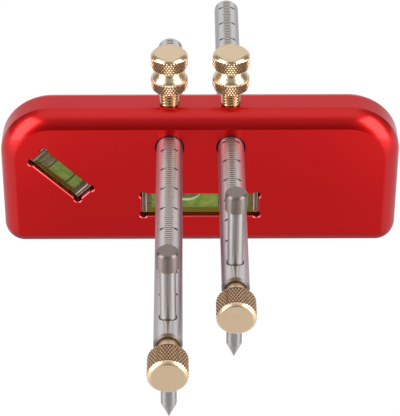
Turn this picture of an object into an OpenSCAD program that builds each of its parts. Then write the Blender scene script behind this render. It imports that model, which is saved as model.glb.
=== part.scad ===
// Double-rod marking gauge: a fence that two graduated rods slide through, each with a scribe pin.
// Millimetres. Origin at the middle of the fence's base, +X along the fence, -Y towards the pins, +Z up.

/* [Fence] */
// Length of the fence
fence_len = 123.9; // [105:0.1:180]
// Height of the fence
fence_h = 49.7; // [46:0.1:70]
// Thickness of the fence from face to face
fence_t = 17.2; // [14:0.1:26]
// Width of the bowed rim, measured across the face
rim_w = 4.8; // [3:0.1:5.4]
// Depth of the bowed rim, measured back from the face
rim_d = 5.2; // [3:0.1:6.5]
// Radius of the rim's bow
rim_r = 7.6; // [6:0.1:20]
// Radius of the two upper corners
top_corner_r = 16.3; // [8:0.1:18]
// Radius of the two lower corners
bottom_corner_r = 6.2; // [5.5:0.1:12]

/* [Rods] */
// Diameter of the rods
rod_d = 8; // [6.5:0.1:10]
// Length of the rods
rod_len = 153.2; // [120:0.1:220]
// Distance between the rods' axes
rod_spacing = 18.9; // [14:0.1:26]
// Depth of the rods' axes below the top edge
rod_depth = 11.4; // [8:0.1:14]
// Setting of the left pin in front of the fence's face
left_set = 86.3; // [20:0.1:100]
// Setting of the right pin in front of the fence's face
right_set = 61.9; // [20:0.1:100]
// Distance from a rod's front end to its cross hole's axis
pin_inset = 8.4; // [6:0.1:12]
// Chamfer on the rods' ends
rod_chamfer = 0.5; // [0.2:0.1:1]
// Chamfer at the mouths of the rods' bores
bore_chamfer = 0.5; // [0.2:0.1:1.2]

/* [Scribe pins] */
// Diameter of the pins
pin_d = 4.5; // [3:0.1:5]
// Length of the pins from head to point
pin_len = 59.1; // [45:0.1:80]
// Length of the conical point
point_len = 5.3; // [3:0.1:8]
// Diameter of the pins' heads
head_d = 6.2; // [5.5:0.1:9]
// Height of the pins' heads
head_h = 5.6; // [3:0.1:8]
// Chamfer on the pins' heads
head_chamfer = 0.5; // [0.2:0.1:1]
// Drop of the left pin's point below its rod's axis
left_drop = 33; // [15:0.1:38]
// Drop of the right pin's point below its rod's axis
right_drop = 31.4; // [15:0.1:38]

/* [Lock screws] */
// Diameter of the lock screws' two discs
lock_d = 11.4; // [9:0.1:13]
// Diameter of the threaded shank
lock_shank_d = 6; // [4:0.1:7]
// Length of shank that shows above the fence
lock_rise = 4.8; // [1:0.1:10]
// Thickness of the lower disc
lock_lower_t = 3.8; // [2:0.1:6]
// Height of the taper from the lower disc to the waist
lock_taper_h = 2.7; // [1:0.1:5]
// Diameter of the waist
lock_waist_d = 7.6; // [6:0.1:9]
// Height of the waist
lock_waist_h = 0.9; // [0.4:0.1:4]
// Thickness of the upper disc below its chamfer
lock_upper_t = 4.9; // [2:0.1:8]
// Height of the chamfer on the upper disc
lock_crown_h = 1.1; // [0.4:0.1:2]
// Diameter of the flat top
lock_flat_d = 8.6; // [5:0.1:9]

/* [Clamp screws] */
// Diameter of the clamp screws' knobs
clamp_d = 11.4; // [9:0.1:14]
// Length of the knobs
clamp_len = 8.2; // [5:0.1:14]
// Diameter of the threaded shank
clamp_shank_d = 5; // [3:0.1:5.5]
// Length of shank that shows between rod and knob
clamp_rise = 5.2; // [1:0.1:12]
// Chamfer on the knobs' front edge
clamp_crown = 1; // [0.3:0.1:2]
// Diameter of the countersink in the rods' front ends
clamp_sink_d = 6.4; // [5.8:0.1:7]

/* [Spirit levels] */
// Length of the straight level with its caps
level_len = 36.4; // [30:0.1:60]
// Side of the straight level's square section
level_side = 8.2; // [7:0.1:9.5]
// Height of the straight level's axis above the base
level_z = 16.4; // [12:0.1:22]
// Length of the angled level with its caps
angle_len = 20.4; // [18:0.1:26]
// Side of the angled level's square section
angle_side = 6.5; // [6.2:0.1:8]
// Distance from the fence's left end to the angled level's middle
angle_inset = 18.7; // [15:0.1:26]
// Distance from the fence's top edge to the angled level's middle
angle_drop = 21.9; // [18:0.1:26]
// Slope of the angled level, in degrees
angle_tilt = 45; // [30:1:60]
// Depth of the levels' fronts below the fence's face
level_recess = 2; // [0.2:0.1:3]
// Thickness of a level's clear wall at its thinnest
level_wall = 0.55; // [0.4:0.05:0.7]
// Thickness of the end caps' plates
cap_t = 1.4; // [0.8:0.1:2]
// Length of the end caps' plugs
plug_len = 1.6; // [0.6:0.1:2.4]
// Narrowing of a chamber's radius from its middle to its ends
barrel_sag = 0.15; // [0.05:0.01:0.2]
// Distance between the two lines of the straight level
level_line_gap = 12; // [10:0.1:16]
// Distance between the two lines of the angled level
angle_line_gap = 7.6; // [6.6:0.1:9]
// Width of the lines
line_w = 0.5; // [0.2:0.05:0.8]
// Diameter of the straight level's bubble
level_bubble_d = 4.6; // [2:0.1:5]
// Length of the straight level's bubble
level_bubble_len = 10; // [5:0.1:12]
// Place of the straight level's bubble along its chamber
level_bubble_x = -4.5; // [-9:0.1:9]
// Diameter of the angled level's bubble
angle_bubble_d = 4.2; // [2:0.1:4.3]
// Length of the angled level's bubble
angle_bubble_len = 2.8; // [2:0.1:4]

/* [Pockets] */
// Radius of the cutter relief in the pockets' corners
relief_r = 1.2; // [0.6:0.1:2]
// Distance from a pocket's walls to the middle of the relief
relief_in = 0.6; // [0.2:0.1:1]
// Chamfer round the mouths of the pockets
pocket_chamfer = 0.3; // [0.1:0.05:0.6]

/* [Fits] */
// Radial clearance of a rod in its bore
rod_fit = 0.03; // [0.01:0.01:0.1]
// Radial clearance of a pin in its cross hole
pin_fit = 0.15; // [0.05:0.01:0.2]
// Gap left between a pin and the wall that its clamp screw presses it to
pin_seat = 0.03; // [0.01:0.01:0.04]
// Radial clearance of a shank in its tapped hole
thread_fit = 0.05; // [0.01:0.01:0.1]
// Gap between a screw's tip and what it clamps
tip_gap = 0.06; // [0.02:0.01:0.2]
// Gap between a level and the walls of its pocket
pocket_fit = 0.2; // [0.1:0.05:0.4]
// Gap between the pieces inside a level
fill_fit = 0.02; // [0.01:0.01:0.05]
// Thickness of the lines in a chamber
line_t = 0.1; // [0.05:0.01:0.2]
// Gap between a bubble and the liquid round it
bubble_fit = 0.06; // [0.03:0.01:0.15]

/* [Hidden] */
$fn = 96;
red = [0.68, 0.09, 0.1];
steel = [0.72, 0.71, 0.7];
brass = [0.8, 0.62, 0.36];
clear = [0.86, 0.86, 0.82, 0.4];
green = [0.45, 0.62, 0.2, 0.7];
black = [0.05, 0.06, 0.05];
// Length by which a cut runs past the surface that it opens
over = 1;
face_y = -fence_t / 2;
rod_x = rod_spacing / 2;
rod_z = fence_h - rod_depth;
bore_r = rod_d / 2 + rod_fit;
// Distance from a rod's front end to its pin's axis, once the pin is pressed back in its hole
pin_y = pin_inset + pin_fit - pin_seat;
level_bore = level_side - 2 * level_wall;
angle_bore = angle_side - 2 * level_wall;
// Steps that draw a chamber's barrel form
barrel_steps = 8;

// A length to the nearest thousandth, so that the rim's runs and corners meet exactly
function thousandth(v) = round(v * 1000) / 1000;

// Centre of the rim's bow, from the sharp edge that it takes away: the bow ends rim_w along the face and
// rim_d along the edge's side
function rim_centre() =
  let (chord = [rim_w, rim_d],
    rise = sqrt(rim_r * rim_r - chord * chord / 4),
    outward = [rim_d, rim_w] / norm(chord),
    centre = -chord / 2 - outward * rise)
  [thousandth(centre.x), thousandth(centre.y)];

// Half of a section across the fence: from a line inside it, at 0, out to an edge, with the bowed rim on
// the front and back corners of that edge
module rim_half(edge) {
  difference() {
    translate([0, -fence_t / 2]) square([edge, fence_t]);
    for (back = [0, 1]) mirror([0, back]) translate([edge, fence_t / 2] + rim_centre()) difference() {
      square(rim_r + over);
      circle(rim_r);
    }
  }
}

// A quarter of a corner post, with the rim carried round it
module rim_corner(r) {
  rotate([90, 0, 0]) rotate_extrude(angle = 90) rim_half(r);
}

// The fence before it is drilled: the rim's section run along the edges and turned round the corners
module fence_blank() {
  translate([0, 0, bottom_corner_r])
    linear_extrude(fence_h - top_corner_r - bottom_corner_r)
      for (left = [0, 1]) mirror([left, 0]) rim_half(fence_len / 2);
  translate([0, 0, fence_h - top_corner_r]) rotate([0, -90, 0])
    linear_extrude(fence_len - 2 * top_corner_r, center = true) rim_half(top_corner_r);
  translate([0, 0, bottom_corner_r]) rotate([0, 90, 0])
    linear_extrude(fence_len - 2 * bottom_corner_r, center = true) rim_half(bottom_corner_r);
  for (left = [0, 1]) mirror([left, 0, 0]) {
    translate([fence_len / 2 - top_corner_r, 0, fence_h - top_corner_r]) rim_corner(top_corner_r);
    translate([fence_len / 2 - bottom_corner_r, 0, bottom_corner_r])
      mirror([0, 0, 1]) rim_corner(bottom_corner_r);
  }
}

// A rod's bore, chamfered at both mouths
module rod_bore() {
  rotate([90, 0, 0]) {
    cylinder(r = bore_r, h = fence_t + 2 * over, center = true);
    for (back = [0, 1]) mirror([0, 0, back])
      translate([0, 0, fence_t / 2 - bore_chamfer])
        cylinder(r1 = bore_r, r2 = bore_r + bore_chamfer + over, h = bore_chamfer + over);
  }
}

// Where the two levels lie: along X, with their fronts towards -Y from the fence's face
module at_level() {
  translate([0, face_y, level_z]) children();
}

module at_angle() {
  translate([angle_inset - fence_len / 2, face_y, fence_h - angle_drop])
    rotate([0, angle_tilt, 0]) children();
}

// The chamfer along two opposite sides of a pocket's mouth: a wedge with its length along Z
module mouth_wedge(half_w, half_len) {
  splay = half_w + pocket_chamfer + over;
  linear_extrude(2 * half_len, center = true) polygon([
    [-splay, -over], [splay, -over], [half_w, pocket_chamfer], [-half_w, pocket_chamfer]]);
}

// A blind pocket for a level, its corners relieved by the cutter and its mouth chamfered
module level_pocket(len, side) {
  half_x = len / 2 + pocket_fit;
  half_z = side / 2 + pocket_fit;
  depth = level_recess + side + pocket_fit;
  translate([-half_x, -over, -half_z]) cube([2 * half_x, depth + over, 2 * half_z]);
  mouth_wedge(half_x, half_z);
  rotate([0, 90, 0]) mouth_wedge(half_z, half_x);
  for (x = [-1, 1], z = [-1, 1])
    translate([x * (half_x - relief_in), -over, z * (half_z - relief_in)]) rotate([-90, 0, 0]) {
      cylinder(r = relief_r, h = depth + over);
      cylinder(r1 = relief_r + pocket_chamfer + over, r2 = relief_r, h = pocket_chamfer + over);
    }
}

module fence_body() {
  color(red) difference() {
    fence_blank();
    for (x = [-rod_x, rod_x]) {
      translate([x, 0, rod_z]) rod_bore();
      translate([x, 0, rod_z]) cylinder(d = lock_shank_d + 2 * thread_fit, h = rod_depth + over);
    }
    at_level() level_pocket(level_len, level_side);
    at_angle() level_pocket(angle_len, angle_side);
  }
}

// A rod with its front end at 0 and its length along +Y: chamfered ends, a cross hole for the pin and a
// countersunk hole for the clamp screw
module rod() {
  end_r = rod_d / 2 - rod_chamfer;
  sink = (clamp_sink_d - clamp_shank_d) / 2;
  clamp_r = clamp_shank_d / 2 + thread_fit;
  difference() {
    rotate([-90, 0, 0]) rotate_extrude() polygon([
      [0, 0], [end_r, 0], [rod_d / 2, rod_chamfer],
      [rod_d / 2, rod_len - rod_chamfer], [end_r, rod_len], [0, rod_len]]);
    translate([0, pin_inset, 0]) cylinder(d = pin_d + 2 * pin_fit, h = rod_d + 2 * over, center = true);
    translate([0, -over, 0]) rotate([-90, 0, 0]) cylinder(r = clamp_r, h = pin_inset + over);
    translate([0, -over, 0]) rotate([-90, 0, 0])
      cylinder(r1 = clamp_sink_d / 2 + over, r2 = clamp_r, h = sink + over);
  }
}

// A headed scribe pin with its point at 0, standing along +Z
module scribe_pin() {
  rotate_extrude() polygon([
    [0, 0], [pin_d / 2, point_len], [pin_d / 2, pin_len - head_h], [head_d / 2, pin_len - head_h],
    [head_d / 2, pin_len - head_chamfer], [head_d / 2 - head_chamfer, pin_len], [0, pin_len]]);
}

// A lock screw with the fence's top edge at 0: shank down to the rod, and two discs with a waist between
module lock_screw() {
  shank_r = lock_shank_d / 2;
  tip_z = rod_d / 2 + tip_gap - rod_depth;
  tip_chamfer = shank_r / 4;
  lower_top = lock_rise + lock_lower_t;
  waist_z = lower_top + lock_taper_h;
  upper_z = waist_z + lock_waist_h;
  crown_z = upper_z + lock_upper_t;
  top_z = crown_z + lock_crown_h;
  rotate_extrude() polygon([
    [0, tip_z], [shank_r - tip_chamfer, tip_z], [shank_r, tip_z + tip_chamfer], [shank_r, lock_rise],
    [lock_d / 2, lock_rise], [lock_d / 2, lower_top], [lock_waist_d / 2, waist_z],
    [lock_waist_d / 2, upper_z], [lock_d / 2, upper_z], [lock_d / 2, crown_z],
    [lock_flat_d / 2, top_z], [0, top_z]]);
}

// A clamp screw with the rod's front end at 0 and its knob towards -Y: the shank reaches in to the pin
module clamp_screw() {
  shank_r = clamp_shank_d / 2;
  tip_y = pin_y - pin_d / 2 - tip_gap;
  tip_chamfer = shank_r / 4;
  knob_end = clamp_rise + clamp_len;
  rotate([90, 0, 0]) rotate_extrude() polygon([
    [0, -tip_y], [shank_r - tip_chamfer, -tip_y], [shank_r, tip_chamfer - tip_y], [shank_r, clamp_rise],
    [clamp_d / 2, clamp_rise], [clamp_d / 2, knob_end - clamp_crown],
    [clamp_d / 2 - clamp_crown, knob_end], [0, knob_end]]);
}

// Where a rod's front end lies: on the left at -1 and on the right at 1
function rod_set(side) = side < 0 ? left_set : right_set;
module at_rod_end(side) {
  translate([side * rod_x, face_y - rod_set(side) - pin_y, rod_z]) children();
}

module at_pin(side, drop) {
  at_rod_end(side) translate([0, pin_y, -drop]) children();
}

module at_lock(side) {
  translate([side * rod_x, 0, fence_h]) children();
}

// Radius of a level's chamber at a place along it, widest at the middle
function barrel_r(bore, half, x) = bore / 2 - barrel_sag * pow(x / half, 2);

// Half the length of a level's block, and of the liquid between the plugs
function block_half(len) = len / 2 - cap_t;
function liquid_half(len) = block_half(len) - plug_len;

// A level's chamber from x = -reach to reach, smaller all round by gap
module barrel(bore, half, reach, gap) {
  step = 2 * reach / barrel_steps;
  rotate([0, 90, 0]) rotate_extrude() polygon(concat(
    [[0, -reach]],
    [for (i = [0 : barrel_steps]) [barrel_r(bore, half, i * step - reach) - gap, i * step - reach]],
    [[0, reach]]));
}

// Moves to the axis of a level, from the middle of its front opening
module to_axis(side) {
  translate([0, level_recess + side / 2, 0]) children();
}

module level_case(len, side, bore) {
  half = block_half(len);
  to_axis(side) difference() {
    cube([2 * half, side, side], center = true);
    barrel(bore, half, half, 0);
  }
}

// An end cap: a square plate with a round plug that closes the chamber
module level_cap(len, side, bore) {
  half = block_half(len);
  plug_r = barrel_r(bore, half, half) - fill_fit;
  to_axis(side) {
    translate([half, -side / 2, -side / 2]) cube([cap_t, side, side]);
    translate([half - plug_len, 0, 0]) rotate([0, 90, 0]) cylinder(r = plug_r, h = plug_len + cap_t / 2);
  }
}

// Rounding of a bubble's ends: as full as its diameter and its length allow
function bubble_round(d, len) = min(d, len) / 2;

// A bubble along X with round ends, or the room that it takes
module bubble_form(d, len, round) {
  rotate([0, 90, 0]) rotate_extrude() difference() {
    translate([0, -len / 2]) square([d / 2, len]);
    for (end = [0, 1]) mirror([0, end]) translate([d / 2 - round, len / 2 - round]) difference() {
      square(round + over);
      circle(round);
    }
  }
}

// Height of a bubble's axis above its chamber's axis: it floats just under the lines
function bubble_rise(bore, len, d) =
  barrel_r(bore, block_half(len), liquid_half(len)) - fill_fit - line_t - 2 * bubble_fit - d / 2;

// Lines round the inside of a chamber, thicker and wider by grow
module level_lines(len, bore, line_gap, grow) {
  outer = barrel_r(bore, block_half(len), line_gap / 2) - fill_fit + grow;
  inner = outer - line_t - 2 * grow;
  for (x = [-1, 1] * line_gap / 2) translate([x, 0, 0]) rotate([0, 90, 0]) difference() {
    cylinder(r = outer, h = line_w + 2 * grow, center = true);
    cylinder(r = inner, h = line_w + 2 * grow + over, center = true);
  }
}

// The liquid: it fills the chamber between the plugs, and leaves room for the lines and the bubble's run
module level_fill(len, side, bore, line_gap, d, bubble_len) {
  reach = liquid_half(len) - fill_fit;
  run_round = bubble_round(d, bubble_len) + bubble_fit;
  to_axis(side) difference() {
    barrel(bore, block_half(len), reach, fill_fit);
    level_lines(len, bore, line_gap, fill_fit);
    translate([0, 0, bubble_rise(bore, len, d)])
      bubble_form(d + 2 * bubble_fit, 2 * reach - 2 * bubble_fit, run_round);
  }
}

module level_air(len, side, bore, d, bubble_len, x) {
  to_axis(side) translate([x, 0, bubble_rise(bore, len, d)])
    bubble_form(d, bubble_len, bubble_round(d, bubble_len));
}

// The angled level's bubble rests at the upper end of its run
function angle_bubble_x() = angle_bubble_len / 2 + 3 * bubble_fit - liquid_half(angle_len);

module left_rod() { color(steel) at_rod_end(-1) rod(); }
module right_rod() { color(steel) at_rod_end(1) rod(); }
module left_lock_screw() { color(brass) at_lock(-1) lock_screw(); }
module right_lock_screw() { color(brass) at_lock(1) lock_screw(); }
module left_scribe_pin() { color(steel) at_pin(-1, left_drop) scribe_pin(); }
module right_scribe_pin() { color(steel) at_pin(1, right_drop) scribe_pin(); }
module left_pin_screw() { color(brass) at_rod_end(-1) clamp_screw(); }
module right_pin_screw() { color(brass) at_rod_end(1) clamp_screw(); }

module level_block() { color(clear) at_level() level_case(level_len, level_side, level_bore); }
module level_left_cap() {
  color(clear) at_level() mirror([1, 0, 0]) level_cap(level_len, level_side, level_bore);
}
module level_right_cap() { color(clear) at_level() level_cap(level_len, level_side, level_bore); }
module level_liquid() {
  color(green) at_level()
    level_fill(level_len, level_side, level_bore, level_line_gap, level_bubble_d, level_bubble_len);
}
module level_bubble() {
  color(clear) at_level()
    level_air(level_len, level_side, level_bore, level_bubble_d, level_bubble_len, level_bubble_x);
}
module level_rings() {
  color(black) at_level() to_axis(level_side) level_lines(level_len, level_bore, level_line_gap, 0);
}

module angle_block() { color(clear) at_angle() level_case(angle_len, angle_side, angle_bore); }
module angle_upper_cap() {
  color(clear) at_angle() mirror([1, 0, 0]) level_cap(angle_len, angle_side, angle_bore);
}
module angle_lower_cap() { color(clear) at_angle() level_cap(angle_len, angle_side, angle_bore); }
module angle_liquid() {
  color(green) at_angle()
    level_fill(angle_len, angle_side, angle_bore, angle_line_gap, angle_bubble_d, angle_bubble_len);
}
module angle_bubble() {
  color(clear) at_angle()
    level_air(angle_len, angle_side, angle_bore, angle_bubble_d, angle_bubble_len, angle_bubble_x());
}
module angle_rings() {
  color(black) at_angle() to_axis(angle_side) level_lines(angle_len, angle_bore, angle_line_gap, 0);
}

fence_body();
left_rod();
right_rod();
left_lock_screw();
right_lock_screw();
left_scribe_pin();
right_scribe_pin();
left_pin_screw();
right_pin_screw();
level_block();
level_left_cap();
level_right_cap();
level_liquid();
level_bubble();
level_rings();
angle_block();
angle_upper_cap();
angle_lower_cap();
angle_liquid();
angle_bubble();
angle_rings();
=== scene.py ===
# Looks of a double-rod marking gauge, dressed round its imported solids. Lengths are in metres.
import math
from collections import namedtuple

import bmesh
import bpy
from mathutils import Matrix, Vector


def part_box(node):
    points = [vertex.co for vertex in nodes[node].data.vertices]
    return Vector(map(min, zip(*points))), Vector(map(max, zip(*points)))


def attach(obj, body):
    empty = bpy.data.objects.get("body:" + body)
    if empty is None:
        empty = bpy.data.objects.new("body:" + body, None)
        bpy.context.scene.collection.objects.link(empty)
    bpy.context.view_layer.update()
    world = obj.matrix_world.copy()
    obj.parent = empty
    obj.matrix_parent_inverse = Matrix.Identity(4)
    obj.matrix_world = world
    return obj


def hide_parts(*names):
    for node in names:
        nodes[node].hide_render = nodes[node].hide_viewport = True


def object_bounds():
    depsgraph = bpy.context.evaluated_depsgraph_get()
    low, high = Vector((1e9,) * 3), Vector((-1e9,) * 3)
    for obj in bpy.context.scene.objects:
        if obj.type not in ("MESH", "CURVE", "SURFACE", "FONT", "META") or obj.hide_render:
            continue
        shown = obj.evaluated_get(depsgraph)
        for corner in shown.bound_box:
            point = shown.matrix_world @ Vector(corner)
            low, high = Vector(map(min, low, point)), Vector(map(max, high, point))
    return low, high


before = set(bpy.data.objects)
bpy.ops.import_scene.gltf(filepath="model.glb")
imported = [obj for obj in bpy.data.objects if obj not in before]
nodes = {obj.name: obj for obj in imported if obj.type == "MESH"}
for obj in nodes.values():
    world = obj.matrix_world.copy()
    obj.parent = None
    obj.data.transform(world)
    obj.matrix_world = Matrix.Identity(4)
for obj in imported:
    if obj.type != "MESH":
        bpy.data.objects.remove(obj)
cad_low, cad_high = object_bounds()

MM = 0.001
SIDES = ("left", "right")

# Camera: where the photograph was taken from, how it was held, and its lens and sensor in millimetres
CAMERA_PLACE = Vector((-4.73, -535.24, 400.34)) * MM
CAMERA_PITCH = math.radians(36.168)
CAMERA_ROLL = math.radians(-0.147)
CAMERA_LENS = 179.45
CAMERA_SENSOR = 36
CAMERA_SHIFT = 0.0361
CAMERA_CLIP = 20

# Knurls: the diamonds round a grip, half a diamond's height, their depth, and the gap to a plain edge
Knurl = namedtuple("Knurl", "count step depth")
LOCK_KNURL = Knurl(38, 0.72 * MM, 0.36 * MM)
CLAMP_KNURL = Knurl(39, 0.8 * MM, 0.27 * MM)
KNURL_GAP = 0.1 * MM

# Threads: segments round, steps along a pitch, depth as a share of it, and the groove's slope and land
THREAD_COUNT = 48
THREAD_STEPS = 8
THREAD_DEPTH = 0.61
THREAD_SLOPE = 1.3
THREAD_LAND = 0.15

# Turned pieces: segments round a smooth one, the radius left at the middle of a flat end, how far a head
# starts inside its shank, and how far the shank reaches up into the head
SMOOTH_COUNT = 64
MIDDLE_R = 0.1 * MM
SHANK_INSET = 0.2 * MM
SHANK_LAP = 0.3 * MM

# Lock screws, measured up from the fence's top edge
LOCK_R = 5.7 * MM
LOCK_RISE = 4.8 * MM
LOCK_LOWER_T = 3.8 * MM
LOCK_BULGE_R = 5.05 * MM
LOCK_BULGE_H = 1.35 * MM
LOCK_TAPER_H = 2.7 * MM
LOCK_WAIST_R = 3.65 * MM
LOCK_WAIST_H = 0.9 * MM
LOCK_CROWN_H = 1.3 * MM
LOCK_SHOULDER_R = 4.65 * MM
LOCK_SHOULDER_H = 1.2 * MM
LOCK_FLAT_R = 4.0 * MM
LOCK_TOP_DROP = 0.2 * MM
LOCK_EASE = 0.9 * MM
LOCK_THREAD_R = 2.98 * MM
LOCK_PITCH = 1.0 * MM
# How far their corners are rounded: under the discs, on the bulge, below and above the waist, on the crown
LOCK_EASE_ROUND = 0.4 * MM
LOCK_BULGE_ROUND = 0.8 * MM
LOCK_WAIST_ROUND = 0.7 * MM
LOCK_UPPER_ROUND = 0.15 * MM
LOCK_CROWN_ROUND = 0.5 * MM

# Clamp screws, measured out from the rod's front end
CLAMP_R = 5.7 * MM
CLAMP_RISE = 5.2 * MM
CLAMP_EASE = 0.4 * MM
CLAMP_CROWN = 1.0 * MM
CLAMP_NECK_R = 2.9 * MM
CLAMP_NECK_GAP = 0.15 * MM
CLAMP_THREAD_R = 2.48 * MM
CLAMP_PITCH = 0.8 * MM
CLAMP_ROUND = 0.12 * MM
CLAMP_FRONT_ROUND = 0.3 * MM

# Scribe pins, measured up from the point
PIN_R = 2.25 * MM
PIN_TIP_R = 0.04 * MM
POINT_LEN = 5.3 * MM
POINT_ROUND = 0.25 * MM
HEAD_R = 3.1 * MM
HEAD_H = 5.6 * MM
HEAD_CHAMFER = 0.5 * MM
HEAD_ROUND = 0.15 * MM
HEAD_SIDE_ROUND = 0.1 * MM
HEAD_INSET = 0.1 * MM
HEAD_LAP = 0.2 * MM
# The painted shade ring round a pin's hole in its rod: its width and its segments
HOLE_SHADE_W = 0.34 * MM
HOLE_SHADE_COUNT = 40

# Scale on the rods, counted from the pin's axis
MARK_STEP = 1.0 * MM
MARKS_PER_HALF = 5
MARKS_PER_LONG = 10
FIRST_MARK = 5
LAST_MARK = 143
MARK_W = 0.3 * MM
FINE_MARK_ARC = math.radians(14)
HALF_MARK_ARC = math.radians(18)
LONG_MARK_ARC = math.radians(41)
BOLD_END_ARC = math.radians(25)
BOLD_END_W = 0.8 * MM
# How far marks stand out of a rod and lie in it, and the longest straight step of one that goes round it
MARK_PROUD = 0.012 * MM
MARK_SUNK = 0.03 * MM
MARK_BEND = 0.2 * MM

# Spirit levels: tilt and sizes, names of the ends, and how square a bubble's ends are, where 2 is round
Level = namedtuple("Level", "tilt length side bore ends square")
LEVELS = {
    "level": Level(0.0, 36.4 * MM, 8.2 * MM, 7.1 * MM, ("left", "right"), 2.5),
    "angle": Level(math.radians(45), 20.4 * MM, 6.5 * MM, 5.4 * MM, ("upper", "lower"), 8),
}
CAP_T = 1.4 * MM
PLUG_LEN = 1.6 * MM
PLUG_GAP = 0.15 * MM
SEAM = 0.08 * MM
ACRYLIC_EDGE = 0.22 * MM
# How much smaller a chamber's radius is at its ends
BARREL_SAG = 0.15 * MM
# How far the black lines reach in from a chamber's wall, and how far the liquid and the bubble keep clear of
# them
LINE_REACH = 0.12 * MM
LIQUID_GAP = 0.1 * MM
LIQUID_STEPS = 12
BUBBLE_GAP = 0.04 * MM
# Faces round a bubble, which of them carry its painted bright edge, and the rings of them along it
BUBBLE_COUNT = 48
BUBBLE_OUTLINE = (22, 23, 24, 45, 46, 47)
BUBBLE_RINGS = 40
# At a bubble's ends: the least share under the root that gives its size, and the least share of its reach
BUBBLE_END = 0.02
BUBBLE_END_REACH = 0.03
# How far the straight level's bubble reaches down its chamber's wall, and how far its lower side sags
BUBBLE_REACH = math.radians(88)
BUBBLE_SAG = 0.9 * MM

# Edges that bend more than this stay sharp, and a face is square on where its normal's largest part is over
# this
SHARP_ANGLE = math.radians(35)
SQUARE_ON = 0.99


# Materials

# Colours: a pair holds both ends of what a material varies between
WHITE = (1, 1, 1)
RED_DYE = ((0.73, 0.002, 0.003), (0.78, 0.003, 0.004))
# Painted shade round the bores
BORE_SHADE = (0.2, 0.2, 0.2)
# Painted pink highlight on the pockets' cut edges
CUT_EDGE_HIGHLIGHT = (1.0, 0.11, 0.13)
# Painted shade on the pockets' walls
POCKET_WALL_SHADE = (0.48, 0.0015, 0.002)
ROD_STEEL = ((0.79, 0.79, 0.795), (0.87, 0.87, 0.875))
# Painted brownish shade on a rod's dull front end
DULL_SHADE_TONE = (0.68, 0.6, 0.55)
# Painted lilac shade on a rod's flanks
FLANK_SHADE = (0.66, 0.62, 0.68)
# Painted brownish reflection along a rod's top, under its scale
STRIP_REFLECTION = (0.88, 0.79, 0.74)
END_SHADE = (0.2, 0.12, 0.09)
POLISHED_STEEL = (0.55, 0.52, 0.51)
SATIN_STEEL = (0.36, 0.295, 0.27)
PLAIN_BRASS = (0.94, 0.76, 0.54)
SATIN_BRASS = (0.96, 0.75, 0.52)
THREAD_BRASS = (0.94, 0.74, 0.5)
BRIGHT_BRASS = (1.0, 0.81, 0.58)
PINK_BRASS = (1.0, 0.69, 0.46)
# Brass painted darker as shade: in cut grooves, deeper in the clamp knobs' knurl, and all over the clamp
# screws' threads
SHADED_BRASS = (0.4, 0.24, 0.13)
DEEPER_SHADED_BRASS = (0.3, 0.17, 0.09)
INK = ((0.02, 0.02, 0.02), (0.09, 0.085, 0.08))
CAP_HAZE = ((0.3, 0.22, 0.15), (0.5, 0.42, 0.3))
# Painted highlight on the end caps' edges
CAP_EDGE_HIGHLIGHT = ((0.7, 0.62, 0.52), (0.95, 0.9, 0.82))
PLUG_TINT = ((0.55, 0.42, 0.3), (0.72, 0.6, 0.45))
LIQUID_GREEN = ((0.09, 0.26, 0.04), (0.45, 0.45, 0.05))
# Painted glow of the liquid
LIQUID_GLOW = ((0.3, 0.62, 0.1), (0.75, 0.8, 0.1))
AIR_TINT = ((0.5, 0.17, 0.1), (0.44, 0.34, 0.24))
# Painted highlight on a bubble's edge
BUBBLE_EDGE_HIGHLIGHT = ((0.45, 0.75, 0.3), (0.7, 0.9, 0.5))
LINE_BLACK = ((0.012, 0.016, 0.01), (0.03, 0.035, 0.025))
# The darker streaks of pin steel and of brass, as shares of their colours
PIN_STREAK = (0.86, 0.86, 0.86)
BRASS_STREAK = (0.94, 0.88, 0.8)

# How rough a turned surface gets beyond its smoothest, how rough a dull edge is, and how deep fine relief is
ROUGH_SPREAD = 0.08
DULL_ROUGH = 0.6
RELIEF = 0.01 * MM

# Clear coat on the fence's satin faces and on its glossier rim
FACE_COAT = 0.36
RIM_COAT = 0.85
# Depths below the fence's faces over which its rim turns glossy, and over which the painted highlight on the
# pockets' cut
# # edges and the painted shade on their walls begin, and the heights over which the rim's gloss begins, in
# millimetres
RIM_DEPTH = (0.02, 0.3)
CUT_EDGE_DEPTH = (0.02, 0.1)
POCKET_WALL_DEPTH = (0.3, 0.4)
RIM_HEIGHT = (1.5, 5.0)
# Where the pockets are, in millimetres: within this distance from the middle, and between these heights
POCKETS_X = 56.5
POCKETS_Z = (6.0, 36.5)
# Distances from a bore's axis over which painted shade darkens its edge, in millimetres
BORE_DARK_REACH = (4.7, 4.3)

# Places on a rod as shares of its box, where painted shade and reflection go: the dull edge at its front,
# its flanks, the
# # sides and height of the strip under its scale, and the rim and depth of the painted shade on its front
# end
DULL_Y = (0.0055, 0.0035)
FLANK_X = (0.28, 0.42)
STRIP_X = (0.2, 0.12)
STRIP_Z = (0.3, 0.4)
SHADE_R = (0.415, 0.39)
SHADE_Y = (0.001, 0.0003)


def start_material(name):
    """A new material with its node tree and its shader."""
    material = bpy.data.materials.new(name)
    material.use_nodes = True
    tree = material.node_tree
    return material, tree, tree.nodes["Principled BSDF"]


def set_shader(shader, **values):
    """Sets shader sockets by name, with spaces written as underscores."""
    for name, value in values.items():
        shader.inputs[name.replace("_", " ")].default_value = value


def feed(tree, socket, value):
    """Gives a socket a number, a colour or another node's output."""
    if isinstance(value, bpy.types.NodeSocket):
        tree.links.new(value, socket)
    elif isinstance(value, (int, float)):
        socket.default_value = value
    else:
        socket.default_value = (*value, 1)


def place_on(tree, system):
    """A point's place in a system of coordinates, such as the object's own."""
    return tree.nodes.new("ShaderNodeTexCoord").outputs[system]


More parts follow.
